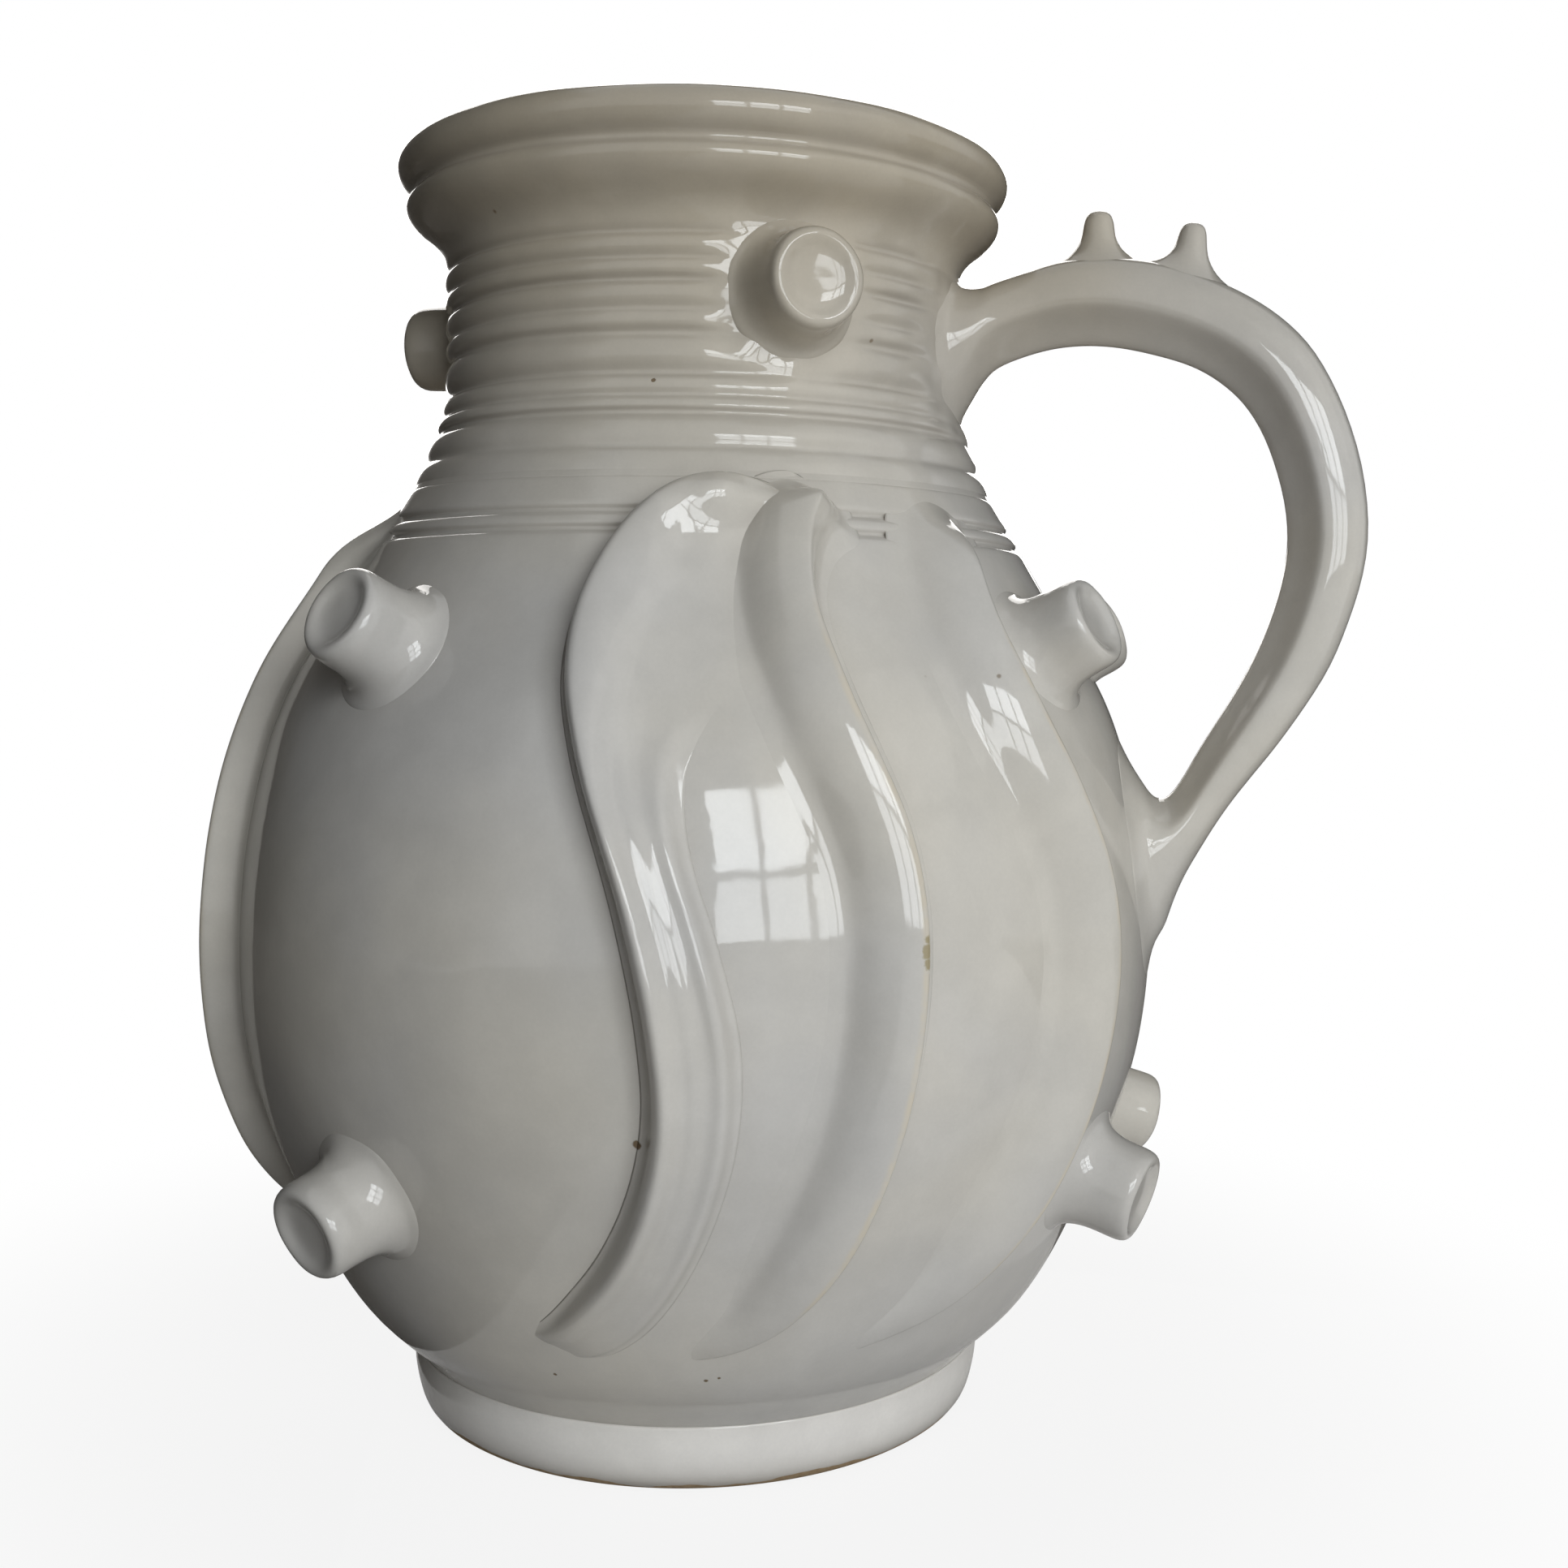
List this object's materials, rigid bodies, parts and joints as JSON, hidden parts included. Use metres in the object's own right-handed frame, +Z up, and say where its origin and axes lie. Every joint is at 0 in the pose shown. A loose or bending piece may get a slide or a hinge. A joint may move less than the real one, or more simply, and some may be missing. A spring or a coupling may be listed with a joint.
{
  "type": "earthenware vase",
  "caption": "White-glazed earthenware jug-shaped vase with a round belly, ringed neck, flared lip, strap handle with thumb nubs, luted studs and S-shaped ribs.",
  "frame": {"origin": "middle of the bounding box in X and Y, on the surface that the foot ring stands on", "axes": "+Z up along the vessel's axis, +X towards the handle, -Y towards the side with the S-shaped ribs that the picture shows"},
  "size_m": [0.2776, 0.2336, 0.3],
  "materials": {
    "white_glaze": "glossy off-white tin glaze, greyer where it pools in the grooves",
    "foot_glaze": "glossy off-white tin glaze, wiped to bare buff clay on the resting edge"
  },
  "bodies": {
    "root": {"foot_ring": "foot_glaze", "belly": "white_glaze", "neck": "white_glaze", "handle": "white_glaze", "handle_nub_1": "white_glaze", "handle_nub_2": "white_glaze", "neck_stud_1": "white_glaze", "neck_stud_2": "white_glaze", "neck_stud_3": "white_glaze", "upper_stud_1": "white_glaze", "upper_stud_2": "white_glaze", "upper_stud_3": "white_glaze", "upper_stud_4": "white_glaze", "lower_stud_1": "white_glaze", "lower_stud_2": "white_glaze", "lower_stud_3": "white_glaze", "lower_stud_4": "white_glaze", "s_rib_front_1": "white_glaze", "s_rib_front_2": "white_glaze", "s_rib_front_3": "white_glaze", "s_rib_rear_1": "white_glaze", "s_rib_rear_2": "white_glaze", "s_rib_rear_3": "white_glaze", "s_rib_left_1": "white_glaze", "s_rib_left_2": "white_glaze", "s_rib_left_3": "white_glaze"}
  },
  "joints": []
}
